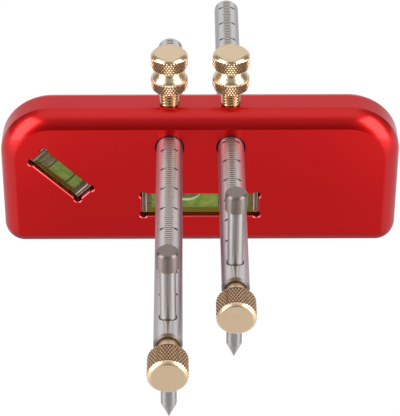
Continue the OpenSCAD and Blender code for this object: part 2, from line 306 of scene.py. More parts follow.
def millimetres(tree, stretch=(1, 1, 1)):
    """The object's own coordinates in millimetres, stretched along each axis."""
    scale = tree.nodes.new("ShaderNodeVectorMath")
    scale.operation = "MULTIPLY"
    scale.inputs[1].default_value = [s / MM for s in stretch]
    tree.links.new(place_on(tree, "Object"), scale.inputs[0])
    return scale.outputs[0]


def axes(tree, place):
    """The three parts of a place."""
    split = tree.nodes.new("ShaderNodeSeparateXYZ")
    tree.links.new(place, split.inputs[0])
    return [split.outputs[axis] for axis in "XYZ"]


def noise(tree, coords, scale, detail=3.0):
    """A noise texture's value."""
    texture = tree.nodes.new("ShaderNodeTexNoise")
    texture.inputs["Scale"].default_value = scale
    texture.inputs["Detail"].default_value = detail
    tree.links.new(coords, texture.inputs["Vector"])
    return texture.outputs["Fac"]


def rings(tree, coords, scale):
    """Turning marks: fine rings about Z."""
    texture = tree.nodes.new("ShaderNodeTexWave")
    texture.wave_type = "RINGS"
    texture.rings_direction = "Z"
    texture.inputs["Scale"].default_value = scale
    texture.inputs["Distortion"].default_value = 1.2
    texture.inputs["Detail"].default_value = 2.0
    tree.links.new(coords, texture.inputs["Vector"])
    return texture.outputs["Fac"]


def spread(tree, value, low, high, start=0.0, end=1.0):
    """A value that goes from start to end, spread from low to high."""
    ramp = tree.nodes.new("ShaderNodeMapRange")
    ramp.inputs["From Min"].default_value = start
    ramp.inputs["From Max"].default_value = end
    ramp.inputs["To Min"].default_value = low
    ramp.inputs["To Max"].default_value = high
    tree.links.new(value, ramp.inputs["Value"])
    return ramp.outputs["Result"]


def eased(tree, value, start, end):
    """A smooth step from 0 at start to 1 at end."""
    ramp = tree.nodes.new("ShaderNodeMapRange")
    ramp.interpolation_type = "SMOOTHSTEP"
    ramp.inputs["From Min"].default_value = start
    ramp.inputs["From Max"].default_value = end
    tree.links.new(value, ramp.inputs["Value"])
    return ramp.outputs["Result"]


def math_node(tree, operation, *values):
    """A math node's result. A value is a number or another node's output."""
    node = tree.nodes.new("ShaderNodeMath")
    node.operation = operation
    for socket, value in zip(node.inputs, values):
        feed(tree, socket, value)
    return node.outputs[0]


def unsigned(tree, value):
    """A value without its sign."""
    return math_node(tree, "ABSOLUTE", value)


def product(tree, *values):
    """The product of some values."""
    result = values[0]
    for value in values[1:]:
        result = math_node(tree, "MULTIPLY", result, value)
    return result


def distance(tree, across, along):
    """The distance from an axis, by the distances along two others."""
    squares = math_node(tree, "ADD", product(tree, across, across), product(tree, along, along))
    return math_node(tree, "SQRT", squares)


def between(tree, share, first, second):
    """A value between two, by a share. Each is a number or another node's output."""
    mix = tree.nodes.new("ShaderNodeMix")
    tree.links.new(share, mix.inputs["Factor"])
    feed(tree, mix.inputs["A"], first)
    feed(tree, mix.inputs["B"], second)
    return mix.outputs["Result"]


def blend_colours(tree, share, first, second):
    """A colour between two, by a share. Each is a colour or another node's output."""
    mix = tree.nodes.new("ShaderNodeMix")
    mix.data_type = "RGBA"
    tree.links.new(share, mix.inputs["Factor"])
    feed(tree, mix.inputs["A"], first)
    feed(tree, mix.inputs["B"], second)
    return mix.outputs["Result"]


def shaded(tree, colour, share, tone):
    """A colour that is multiplied by a tone, by a share."""
    mix = tree.nodes.new("ShaderNodeMix")
    mix.data_type = "RGBA"
    mix.blend_type = "MULTIPLY"
    mix.inputs["Factor"].default_value = 1.0
    tree.links.new(colour, mix.inputs["A"])
    tree.links.new(blend_colours(tree, share, WHITE, tone), mix.inputs["B"])
    return mix.outputs["Result"]


def tint(tree, shader, share, colours, socket="Base Color"):
    """Gives a shader a colour between a pair, by a share."""
    tree.links.new(blend_colours(tree, share, *colours), shader.inputs[socket])


def roughen(tree, shader, share, low, high):
    """Gives a shader a roughness between two, by a share."""
    tree.links.new(spread(tree, share, low, high), shader.inputs["Roughness"])


def add_bump(tree, shader, height, strength):
    """Fine relief from a height value."""
    bump = tree.nodes.new("ShaderNodeBump")
    bump.inputs["Strength"].default_value = strength
    bump.inputs["Distance"].default_value = RELIEF
    tree.links.new(height, bump.inputs["Height"])
    tree.links.new(bump.outputs["Normal"], shader.inputs["Normal"])


def lay_round(tree, shader, axis):
    """Lines round an axis of the object: they smear reflections along it."""
    tangent = tree.nodes.new("ShaderNodeTangent")
    tangent.direction_type = "RADIAL"
    tangent.axis = axis
    tree.links.new(tangent.outputs["Tangent"], shader.inputs["Tangent"])
    set_shader(shader, Anisotropic=0.9, Anisotropic_Rotation=0.25)


def middle(node):
    """The middle of a solid's box."""
    low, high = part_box(node)
    return (low + high) / 2


def red_anodised():
    """Dyed, bead-blasted aluminium under its clear oxide: glossy on the rim, with a painted pink highlight
    on the cut edges of the pockets, and painted shade on their walls and round the bores."""
    material, tree, shader = start_material("red_anodised")
    set_shader(shader, Metallic=1.0, Coat_Roughness=0.2, Specular_Tint=(0.75, 0.5, 0.6, 1))
    x, y, z = axes(tree, millimetres(tree))
    aside = unsigned(tree, x)
    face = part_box("fence_body")[1].y / MM
    depth = math_node(tree, "SUBTRACT", face, unsigned(tree, y))
    rim = product(tree, eased(tree, depth, *RIM_DEPTH), eased(tree, z, *RIM_HEIGHT))
    tree.links.new(between(tree, rim, FACE_COAT, RIM_COAT), shader.inputs["Coat Weight"])

    # Painted shade that darkens the fence round each bore
    bore = middle("right_rod") / MM
    across = math_node(tree, "SUBTRACT", aside, bore.x)
    above = math_node(tree, "SUBTRACT", z, bore.z)
    dark = eased(tree, distance(tree, across, above), *BORE_DARK_REACH)
    low, high = POCKETS_Z
    pocket = product(tree, math_node(tree, "LESS_THAN", aside, POCKETS_X),
                     math_node(tree, "GREATER_THAN", z, low), math_node(tree, "LESS_THAN", z, high))
    # Painted pink highlight on the pockets' cut edges, kept off the painted shade round the bores
    edge = product(tree, pocket, eased(tree, depth, *CUT_EDGE_DEPTH), math_node(tree, "SUBTRACT", 1.0, dark))
    # Painted shade on the pockets' walls
    wall = product(tree, pocket, eased(tree, depth, *POCKET_WALL_DEPTH))

    cloud = noise(tree, millimetres(tree), scale=0.06)
    colour = shaded(tree, blend_colours(tree, cloud, *RED_DYE), dark, BORE_SHADE)
    colour = blend_colours(tree, edge, colour, CUT_EDGE_HIGHLIGHT)
    colour = blend_colours(tree, wall, colour, POCKET_WALL_SHADE)
    tree.links.new(colour, shader.inputs["Base Color"])
    grain = noise(tree, millimetres(tree), scale=6.0, detail=2.0)
    roughen(tree, shader, grain, 0.36, 0.44)
    add_bump(tree, shader, grain, strength=0.08)
    return material


def ground_steel():
    """Rod steel, ground round and round: dull on the broken edge at its front end, with painted brownish
    shade there, painted shade on its flanks and round the clamp screw's neck, and a painted brownish
    reflection along its top under its scale."""
    material, tree, shader = start_material("ground_steel")
    set_shader(shader, Metallic=1.0)
    x, y, z = axes(tree, place_on(tree, "Generated"))
    off_x = math_node(tree, "SUBTRACT", x, 0.5)
    off_z = math_node(tree, "SUBTRACT", z, 0.5)
    aside = unsigned(tree, off_x)
    # Where painted shade and reflection go: the dull front end, the flanks, the strip along the top, and
    # round the neck
    dull_shaded_end = eased(tree, y, *DULL_Y)
    flank_shade = eased(tree, aside, *FLANK_X)
    reflection_strip = product(tree, eased(tree, aside, *STRIP_X), eased(tree, off_z, *STRIP_Z))
    shade = product(tree, eased(tree, distance(tree, off_x, off_z), *SHADE_R), eased(tree, y, *SHADE_Y))

    colour = blend_colours(tree, noise(tree, millimetres(tree), scale=0.25), *ROD_STEEL)
    # Painted brownish shade on the front end, shade on the flanks, brownish reflection along the top, shade
    # round the neck
    for share, tone in ((dull_shaded_end, DULL_SHADE_TONE), (flank_shade, FLANK_SHADE), (reflection_strip, STRIP_REFLECTION), (shade, END_SHADE)):
        colour = shaded(tree, colour, share, tone)
    tree.links.new(colour, shader.inputs["Base Color"])
    lines = noise(tree, millimetres(tree, (0.3, 9.0, 0.3)), scale=1.0, detail=4.0)
    rough = between(tree, dull_shaded_end, spread(tree, lines, 0.28, 0.36), DULL_ROUGH)
    tree.links.new(rough, shader.inputs["Roughness"])
    add_bump(tree, shader, lines, strength=0.12)
    lay_round(tree, shader, "Y")
    return material


def streaked(tone, streak):
    """A colour pair: a tone's darker streaks, and the tone."""
    return [c * s for c, s in zip(tone, streak)], tone


def pin_steel(name, tone, rough):
    """Hardened pin steel, with lines round it."""
    material, tree, shader = start_material(name)
    set_shader(shader, Metallic=1.0)
    lines = noise(tree, millimetres(tree, (0.4, 0.4, 8.0)), scale=1.0)
    tint(tree, shader, lines, streaked(tone, PIN_STREAK))
    roughen(tree, shader, lines, rough, rough + ROUGH_SPREAD)
    add_bump(tree, shader, lines, strength=0.05)
    lay_round(tree, shader, "Z")
    return material


def grooves(radius, size, floor, crest=0.0):
    """Radii of the floor and the crest of grooves in a turned surface, by shares of a knurl's depth or a
    thread's pitch."""
    return radius - floor * size, radius - crest * size


def turned_brass(name, tone, rough, cut=None, groove_shade=SHADED_BRASS):
    """Brass with turning marks about its own axis. Where it is cut, with grooves between two radii, painted
    shade darkens it towards the grooves' floor."""
    material, tree, shader = start_material(name)
    set_shader(shader, Metallic=1.0)
    coords = millimetres(tree)
    # Painted shade: darker towards the floor of the grooves
    if cut:
        floor, crest = [radius / MM for radius in cut]
        x, y, _ = axes(tree, coords)
        tint(tree, shader, spread(tree, distance(tree, x, y), 0.0, 1.0, floor, crest), (groove_shade, tone))
    else:
        tint(tree, shader, noise(tree, coords, scale=0.4), streaked(tone, BRASS_STREAK))
    marks = rings(tree, coords, scale=1.3)
    roughen(tree, shader, marks, rough, rough + ROUGH_SPREAD)
    add_bump(tree, shader, marks, strength=0.06)
    return material


def mark_ink():
    """Etched and blackened scale marks. The same ink paints the dark shade ring round the pin holes."""
    material, tree, shader = start_material("mark_ink")
    set_shader(shader, Roughness=0.8, Specular_IOR_Level=0.2)
    tint(tree, shader, noise(tree, millimetres(tree), scale=1.5), INK)
    return material


def clear_acrylic(name, glow):
    """Polished clear acrylic, with a painted green glow that stands for the liquid's light in it."""
    material, tree, shader = start_material(name)
    set_shader(shader, Base_Color=(0.95, 0.96, 0.92, 1), Transmission_Weight=1.0, IOR=1.49,
               Emission_Color=(0.45, 0.6, 0.1, 1), Emission_Strength=glow)
    roughen(tree, shader, noise(tree, millimetres(tree), scale=1.2), 0.02, 0.07)
    return material


def cap_acrylic():
    """Clear acrylic with some warm haze, as the end caps have, and a faint painted warm glow."""
    material, tree, shader = start_material("cap_acrylic")
    set_shader(shader, Transmission_Weight=0.6, IOR=1.3, Emission_Color=(0.8, 0.55, 0.32, 1),
               Emission_Strength=0.02)
    haze = noise(tree, millimetres(tree), scale=1.2)
    tint(tree, shader, haze, CAP_HAZE)
    roughen(tree, shader, haze, 0.08, 0.2)
    return material


def cap_edge_highlight():
    """A painted highlight on the end caps' broken edges: pale, with a faint glow."""
    material, tree, shader = start_material("cap_edge_highlight")
    set_shader(shader, Roughness=0.4, Emission_Color=(0.9, 0.8, 0.7, 1), Emission_Strength=0.12)
    tint(tree, shader, noise(tree, millimetres(tree), scale=1.2), CAP_EDGE_HIGHLIGHT)
    return material


def plug_plastic():
    """The darker clear plugs at the ends of a level's chamber."""
    material, tree, shader = start_material("plug_plastic")
    set_shader(shader, Transmission_Weight=0.85, IOR=1.05, Roughness=0.1)
    tint(tree, shader, noise(tree, millimetres(tree), scale=0.8), PLUG_TINT)
    return material


def green_liquid():
    """Tinted liquid with a little painted glow, which makes up for the light that its block and pocket keep
    from it.
    """
    material, tree, shader = start_material("green_liquid")
    set_shader(shader, Transmission_Weight=0.25, IOR=1.03, Roughness=0.08, Emission_Strength=0.12)
    cloud = spread(tree, noise(tree, millimetres(tree), scale=0.45, detail=5.0), -0.9, 1.9)
    tint(tree, shader, cloud, LIQUID_GREEN)
    tint(tree, shader, cloud, LIQUID_GLOW, "Emission Color")
    return material


def air():
    """The bubble: clear, with the warm colour of what lies behind it."""
    material, tree, shader = start_material("air")
    set_shader(shader, Transmission_Weight=0.3, IOR=1.15, Roughness=0.05)
    cloud = spread(tree, noise(tree, millimetres(tree), scale=0.9, detail=4.0), -0.6, 1.6)
    tint(tree, shader, cloud, AIR_TINT)
    return material


def bubble_edge_highlight():
    """A painted highlight, with a faint glow, on the line where a bubble meets the liquid."""
    material, tree, shader = start_material("bubble_edge_highlight")
    set_shader(shader, Roughness=0.2, Emission_Color=(0.6, 0.9, 0.4, 1), Emission_Strength=0.15)
    tint(tree, shader, noise(tree, millimetres(tree), scale=1.2), BUBBLE_EDGE_HIGHLIGHT)
    return material


def black_line():
    """Printed black lines."""
    material, tree, shader = start_material("black_line")
    cloud = noise(tree, millimetres(tree), scale=2.0)
    tint(tree, shader, cloud, LINE_BLACK)
    roughen(tree, shader, cloud, 0.4, 0.55)
    return material


# Shapes

class Skin:
    """Corners and faces of closed skins. A flat face keeps its facet, and a tone picks a material."""

    def __init__(self):
        self.corners = []
        self.faces = []
        self.flat = []
        self.tones = []

    def face(self, ids, flat=False, tone=0):
        self.faces.append(ids)
        self.flat.append(flat)
        self.tones.append(tone)


def softened(points, steps=4):
    """A profile with its corners rounded. A point is (radius, height, how far the rounding reaches)."""
    places = [Vector(p[:2]) for p in points]
    out = []
    for k, (_, _, reach) in enumerate(points):
        if not reach:
            out.append(tuple(places[k]))
            continue
        before = (places[k - 1] - places[k]).normalized() * reach
        after = (places[k + 1] - places[k]).normalized() * reach
        for s in range(steps + 1):
            t = s / steps
            out.append(tuple(places[k] + before * (1 - t) ** 2 + after * t ** 2))
    return out


def turn(skin, rows, count, tone=0):
    """Adds a closed skin turned about Z. A row is (radius, height, knurled): the radius is a number or a
    function of the segment, and a knurled row is joined to the next by the faces of the diamonds, which
    take the next tone."""
    first = len(skin.corners)
    for radius, height, _ in rows:
        for i in range(count):
            r = radius(i) if callable(radius) else radius
            a = 2 * math.pi * i / count
            skin.corners.append((r * math.cos(a), r * math.sin(a), height))
    band = 0
    for j, (_, _, knurled) in enumerate(rows[:-1]):
        band = band + 1 if knurled else 0
        for i in range(count):
            a = first + j * count + i
            b = first + j * count + (i + 1) % count
            c, d = b + count, a + count
            if not knurled:
                skin.face((a, b, c, d), tone=tone)
            elif (i + band) % 2:
                skin.face((a, b, c), flat=True, tone=tone + 1)
                skin.face((a, c, d), flat=True, tone=tone + 1)
            else:
                skin.face((a, b, d), flat=True, tone=tone + 1)
                skin.face((b, c, d), flat=True, tone=tone + 1)
    last = first + (len(rows) - 1) * count
    skin.face(tuple(range(first + count - 1, first - 1, -1)), flat=True, tone=tone)
    skin.face(tuple(range(last, last + count)), flat=True, tone=tone)


def plain(points):
    """Rows with no knurl from a profile's points."""
    return [(r, h, False) for r, h in points]


def knurl_rows(knurl, radius, low, high):
    """Rows of a diamond knurl between two heights: low where two grooves cross, high on the diamonds."""
    rows = max(2, round((high - low) / knurl.step))

    def crossing(j):
        return lambda i: radius - (knurl.depth if (i + j) % 2 == 0 else 0)

    return [(crossing(j), low + (high - low) * j / rows, j < rows) for j in range(rows + 1)]


def thread_rows(radius, pitch, low, high):
    """Rows of a right-hand thread between two heights, fading out over the last turn at both ends."""
    steps = round((high - low) / pitch * THREAD_STEPS)

    def groove(height):
        fade = max(0, min(1, (height - low) / pitch, (high - height) / pitch))

        def radius_at(i):
            turns = (height / pitch - i / THREAD_COUNT) % 1
            share = min(1, max(0, abs(2 * turns - 1) * THREAD_SLOPE - THREAD_LAND))
            return radius - THREAD_DEPTH * pitch * fade * share

        return radius_at

    heights = [low + (high - low) * s / steps for s in range(steps + 1)]
    return [(groove(height), height, False) for height in heights]


def make_piece(name, skin, materials, place, body, stands_for=()):
    """A mesh object from a skin, at its place, that moves with a body and stands for solids."""
    mesh = bpy.data.meshes.new(name)
    mesh.from_pydata(skin.corners, [], skin.faces)
    for polygon, flat, tone in zip(mesh.polygons, skin.flat, skin.tones):
        polygon.use_smooth = not flat
        polygon.material_index = tone
    mesh.set_sharp_from_angle(angle=SHARP_ANGLE)
    for material in materials:
        mesh.materials.append(material)
    mesh.validate()
    piece = bpy.data.objects.new(name, mesh)
    bpy.context.scene.collection.objects.link(piece)
    piece.matrix_world = place
    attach(piece, body)
    if stands_for:
        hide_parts(*stands_for)


def box_skin(skin, size, centre, edge, edge_tone=0):
    """Adds a box with broken edges, which have their own tone."""
    shape = bmesh.new()
    bmesh.ops.create_cube(shape, size=1.0)
    bmesh.ops.scale(shape, vec=size, verts=shape.verts)
    bmesh.ops.bevel(shape, geom=shape.edges[:], offset=edge, segments=2, profile=0.5, affect="EDGES")
    bmesh.ops.translate(shape, vec=centre, verts=shape.verts)
    first = len(skin.corners)
    shape.verts.index_update()
    shape.normal_update()
    skin.corners.extend(tuple(v.co) for v in shape.verts)
    for face in shape.faces:
        square = max(abs(c) for c in face.normal) > SQUARE_ON
        skin.face(tuple(first + v.index for v in face.verts), tone=0 if square else edge_tone)
    shape.free()


# Pieces

def cone_height(start, end, radius):
    """The height at which a cone between two (radius, height) places has a radius."""
    share = (radius - start[0]) / (end[0] - start[0])
    return start[1] + share * (end[1] - start[1])


def lock_screw(side, brasses):
    """A brass thumbscrew: threaded shank, knurled lower disc, taper, waist and knurled upper disc."""
    solid = f"{side}_lock_screw"
    low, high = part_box(solid)
    top_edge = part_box("fence_body")[1].z
    lower_top = LOCK_RISE + LOCK_LOWER_T
    waist = lower_top + LOCK_TAPER_H
    upper = waist + LOCK_WAIST_H
    top = high.z - top_edge - LOCK_TOP_DROP
    crown = top - LOCK_CROWN_H
    root = LOCK_R - LOCK_KNURL.depth
    bulge = (LOCK_BULGE_R, lower_top + LOCK_BULGE_H)
    taper_z = cone_height((LOCK_R, lower_top), bulge, root)
    shoulder = (LOCK_SHOULDER_R, crown + LOCK_SHOULDER_H)
    crown_z = cone_height((LOCK_R, crown), shoulder, root)
    skin = Skin()
    turn(skin, [
        *plain(softened([(LOCK_THREAD_R - SHANK_INSET, LOCK_RISE, 0),
                         (root - LOCK_EASE, LOCK_RISE, LOCK_EASE_ROUND),
                         (root, LOCK_RISE + LOCK_EASE, 0)])),
        *knurl_rows(LOCK_KNURL, LOCK_R, LOCK_RISE + LOCK_EASE + KNURL_GAP, lower_top),
        *plain(softened([(root, taper_z, 0),
                         (*bulge, LOCK_BULGE_ROUND),
                         (LOCK_WAIST_R, waist, LOCK_WAIST_ROUND),
                         (LOCK_WAIST_R, upper, LOCK_UPPER_ROUND),
                         (root - LOCK_EASE, upper, LOCK_EASE_ROUND),
                         (root, upper + LOCK_EASE, 0)])),
        *knurl_rows(LOCK_KNURL, LOCK_R, upper + LOCK_EASE + KNURL_GAP, crown),
        *plain(softened([(root, crown_z, 0),
                         (*shoulder, LOCK_CROWN_ROUND),
                         (LOCK_FLAT_R, top, LOCK_CROWN_ROUND),
                         (MIDDLE_R, top, 0)])),
    ], 2 * LOCK_KNURL.count)
    thread = thread_rows(LOCK_THREAD_R, LOCK_PITCH, low.z - top_edge, LOCK_RISE + SHANK_LAP)
    turn(skin, thread, THREAD_COUNT, tone=2)
    axis = middle(solid)
    place = Matrix.Translation((axis.x, axis.y, top_edge))
    make_piece(f"{side}_lock_thumbscrew", skin, brasses, place, f"{side}_lock_screw", [solid])


def clamp_screw(side, brasses):
    """A brass thumbscrew in a rod's end: threaded shank, neck, and a knurled knob with a turned front."""
    solid = f"{side}_pin_screw"
    low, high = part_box(solid)
    rod_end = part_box(f"{side}_rod")[0].y
    front = rod_end - low.y
    crown = front - CLAMP_CROWN
    front_r = CLAMP_R - CLAMP_CROWN
    root = CLAMP_R - CLAMP_KNURL.depth
    crown_z = cone_height((CLAMP_R, crown), (front_r, front), root)
    skin = Skin()
    turn(skin, [
        *plain(softened([(CLAMP_THREAD_R - SHANK_INSET, CLAMP_NECK_GAP, 0),
                         (CLAMP_NECK_R, CLAMP_NECK_GAP, CLAMP_ROUND),
                         (CLAMP_NECK_R, CLAMP_RISE, CLAMP_ROUND),
                         (root - CLAMP_EASE, CLAMP_RISE, CLAMP_ROUND),
                         (root, CLAMP_RISE + CLAMP_EASE, 0)])),
        *knurl_rows(CLAMP_KNURL, CLAMP_R, CLAMP_RISE + CLAMP_EASE + KNURL_GAP, crown),
        *plain(softened([(root, crown_z, 0), (front_r, front, CLAMP_FRONT_ROUND), (MIDDLE_R, front, 0)])),
    ], 2 * CLAMP_KNURL.count)
    thread = thread_rows(CLAMP_THREAD_R, CLAMP_PITCH, rod_end - high.y, CLAMP_RISE + SHANK_LAP)
    turn(skin, thread, THREAD_COUNT, tone=2)
    axis = middle(solid)
    place = Matrix.Translation((axis.x, rod_end, axis.z)) @ Matrix.Rotation(math.radians(90), 4, "X")
    make_piece(f"{side}_clamp_thumbscrew", skin, brasses, place, f"{side}_pin_screw", [solid])


def scribe_pin(side, polished, satin):
    """A steel pin with a ground point and a satin head."""
    solid = f"{side}_scribe_pin"
    low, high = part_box(solid)
    height = high.z - low.z
    head = height - HEAD_H
    skin = Skin()
    turn(skin, plain(softened([(PIN_TIP_R, 0, 0),
                               (PIN_R, POINT_LEN, POINT_ROUND),
                               (PIN_R, head + HEAD_LAP, 0)])), SMOOTH_COUNT)
    turn(skin, plain(softened([(PIN_R - HEAD_INSET, head, 0),
                               (HEAD_R, head, HEAD_ROUND),
                               (HEAD_R, height - HEAD_CHAMFER, HEAD_SIDE_ROUND),
                               (HEAD_R - HEAD_CHAMFER, height, HEAD_ROUND),
                               (MIDDLE_R, height, 0)])), SMOOTH_COUNT, tone=1)
    axis = middle(solid)
    place = Matrix.Translation((axis.x, axis.y, low.z))
    make_piece(f"{side}_pin", skin, [polished, satin], place, f"{side}_pin", [solid])


def wrapped_bar(skin, radius, start, end, width):
    """Adds a thin bar on a rod, between two places given by their reach round the rod and along it."""
    start, end = Vector(start), Vector(end)
    run = end - start
    across = Vector((-run.y, run.x)).normalized() * width / 2
    steps = max(1, math.ceil(abs(run.x) / MARK_BEND))
    first = len(skin.corners)
    for s in range(steps + 1):
        centre = start + run * s / steps
        for r in (radius - MARK_SUNK, radius + MARK_PROUD):
            for corner in (centre + across, centre - across):
                a = corner.x / radius
                skin.corners.append((r * math.sin(a), corner.y, r * math.cos(a)))
    for s in range(steps):
        a = first + 4 * s
        b = a + 4
        skin.face((a, a + 1, b + 1, b))
        skin.face((a + 2, b + 2, b + 3, a + 3))
        skin.face((a, b, b + 2, a + 2))
        skin.face((a + 1, a + 3, b + 3, b + 1))
    last = first + 4 * steps
    skin.face((first, first + 2, first + 3, first + 1))
    skin.face((last, last + 1, last + 3, last + 2))


def rod_radius(side):
    """A rod's radius."""
    low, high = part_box(f"{side}_rod")
    return (high.x - low.x) / 2


def mark_rod(side, name, skin, ink):
    """A piece with marks on a rod, and the painted shade ring round its pin hole, from a skin round the
    rod's axis.
    """
    axis = middle(f"{side}_rod")
    place = Matrix.Translation((axis.x, 0, axis.z))
    make_piece(f"{side}_{name}", skin, [ink], place, f"{side}_rod")


def scale_marks(side, ink):
    """Marks round the top of a rod: longer at every fifth, and longest, with bold ends, at every tenth."""
    radius = rod_radius(side)
    zero = middle(f"{side}_scribe_pin").y
    skin = Skin()
    for number in range(FIRST_MARK, LAST_MARK + 1):
        y = zero + number * MARK_STEP
        if number % MARKS_PER_LONG == 0:
            reach = radius * BOLD_END_ARC
            for sign in (-1, 1):
                wrapped_bar(skin, radius, (sign * reach, y), (sign * radius * LONG_MARK_ARC, y), BOLD_END_W)
        elif number % MARKS_PER_HALF == 0:
            reach = radius * HALF_MARK_ARC
        else:
            reach = radius * FINE_MARK_ARC
        wrapped_bar(skin, radius, (-reach, y), (reach, y), MARK_W)
    mark_rod(side, "scale_marks", skin, ink)


def hole_shade_ring(side, ink):
    """A painted dark ring of shade round a rod's pin hole, on the rod's upper side."""
    radius = rod_radius(side)
    centre = middle(f"{side}_scribe_pin").y
    reach = PIN_R + HOLE_SHADE_W / 2
    places = []
    for k in range(HOLE_SHADE_COUNT + 1):
        a = 2 * math.pi * k / HOLE_SHADE_COUNT
        places.append((radius * math.asin(reach * math.sin(a) / radius), centre - reach * math.cos(a)))
    skin = Skin()
    for start, end in zip(places, places[1:]):
        wrapped_bar(skin, radius, start, end, HOLE_SHADE_W)
    mark_rod(side, "hole_shade_ring", skin, ink)


def level_place(kind):
    """The middle of a level, with X along it."""
    return Matrix.Translation(middle(f"{kind}_block")) @ Matrix.Rotation(LEVELS[kind].tilt, 4, "Y")


# What is turned about Z lies along a level's X
ALONG_X = Matrix.Rotation(math.radians(90), 4, "Y")
HALF_TURN = Matrix.Rotation(math.radians(180), 4, "Z")


def level_block(kind, acrylic):
    """The clear block of a level, its edges broken."""
    side = LEVELS[kind].side
    length = LEVELS[kind].length - 2 * CAP_T - SEAM
    skin = Skin()
    box_skin(skin, (length, side, side), (0, 0, 0), ACRYLIC_EDGE)
    make_piece(f"{kind}_clear_block", skin, [acrylic], level_place(kind), "fence",
               [f"{kind}_block"])


def level_caps(kind, acrylic, edge_highlight, plastic):
    """The two end caps of a level, each with its plug."""
    side = LEVELS[kind].side
    radius = LEVELS[kind].bore / 2 - PLUG_GAP
    half = LEVELS[kind].length / 2
    inner = half - CAP_T
    for sign, end in zip((-1, 1), LEVELS[kind].ends):
        place = level_place(kind)
        cap = Skin()
        size = (CAP_T - SEAM, side, side)
        # The cap's broken edges take the painted highlight
        box_skin(cap, size, (sign * (half - CAP_T / 2), 0, 0), ACRYLIC_EDGE, edge_tone=1)
        make_piece(f"{kind}_{end}_end_cap", cap, [acrylic, edge_highlight], place, "fence",
                   [f"{kind}_{end}_cap"])
        plug = Skin()
        turn(plug, plain([(radius, inner - PLUG_LEN), (radius, inner - 2 * SEAM)]), SMOOTH_COUNT)
        if sign < 0:
            place = place @ HALF_TURN
        make_piece(f"{kind}_{end}_plug", plug, [plastic], place @ ALONG_X, "fence")


def chamber_radius(kind, x):
    """How far from its axis a level's chamber is clear of the black lines, at a place along it."""
    half = LEVELS[kind].length / 2 - CAP_T
    return LEVELS[kind].bore / 2 - BARREL_SAG * (x / half) ** 2 - LINE_REACH


def level_liquid(kind, liquid):
    """The liquid between the plugs of a level, a little fuller in the middle."""
    reach = LEVELS[kind].length / 2 - CAP_T - PLUG_LEN - SEAM
    places = [reach * (2 * s / LIQUID_STEPS - 1) for s in range(LIQUID_STEPS + 1)]
    skin = Skin()
    turn(skin, plain([(chamber_radius(kind, x) - LIQUID_GAP, x) for x in places]), SMOOTH_COUNT)
    make_piece(f"{kind}_tinted_liquid", skin, [liquid], level_place(kind) @ ALONG_X, "fence",
               [f"{kind}_liquid"])


def round_section(radius):
    """Points of the section of a bubble that fills its chamber."""
    angles = [2 * math.pi * i / BUBBLE_COUNT for i in range(BUBBLE_COUNT)]
    return [(radius * math.sin(a), radius * math.cos(a)) for a in angles]


def cut_section(radius, part):
    """Points of a part of the straight bubble's section: the chamber's wall, and the liquid below."""
    reach = max(BUBBLE_END_REACH, part) * BUBBLE_REACH
    wall = BUBBLE_COUNT // 2
    points = []
    for i in range(wall + 1):
        a = reach * (1 - 2 * i / wall)
        points.append((radius * math.sin(a), radius * math.cos(a)))
    sag = BUBBLE_SAG * part
    for i in range(1, BUBBLE_COUNT - wall):
        t = 2 * i / (BUBBLE_COUNT - wall) - 1
        points.append((radius * math.sin(reach) * t, radius * math.cos(reach) - sag * (1 - t * t)))
    return points[::-1]


def level_bubble(kind, clear, bright):
    """The bubble of a level. The straight level's lies under its chamber's upper wall, with a painted bright
    edge where it meets the liquid."""
    solid = f"{kind}_bubble"
    place = level_place(kind)
    along = [(place.inverted() @ v.co).x for v in nodes[solid].data.vertices]
    centre = (min(along) + max(along)) / 2
    half = (max(along) - min(along)) / 2
    radius = chamber_radius(kind, centre) - BUBBLE_GAP
    square = LEVELS[kind].square
    skin = Skin()
    for j in range(BUBBLE_RINGS + 1):
        x = -half * math.cos(math.pi * j / BUBBLE_RINGS)
        part = max(BUBBLE_END, 1 - abs(x / half) ** square) ** (1 / square)
        section = round_section(radius * part) if kind == "angle" else cut_section(radius, part)
        skin.corners.extend((x, y, z) for y, z in section)
    edge_ids = () if kind == "angle" else BUBBLE_OUTLINE
    for j in range(BUBBLE_RINGS):
        for i in range(BUBBLE_COUNT):
            a = j * BUBBLE_COUNT + i
            b = j * BUBBLE_COUNT + (i + 1) % BUBBLE_COUNT
            skin.face((a, b, b + BUBBLE_COUNT, a + BUBBLE_COUNT), tone=int(i in edge_ids))
    last = BUBBLE_RINGS * BUBBLE_COUNT
    skin.face(tuple(range(BUBBLE_COUNT - 1, -1, -1)))
    skin.face(tuple(range(last, last + BUBBLE_COUNT)))
    make_piece(f"{kind}_air_bubble", skin, [clear, bright], place @ Matrix.Translation((centre, 0, 0)),
               f"{kind}_bubble", [solid])


def paint_solid(node, material):
    """Gives a solid its material."""
    nodes[node].data.materials.clear()
    nodes[node].data.materials.append(material)


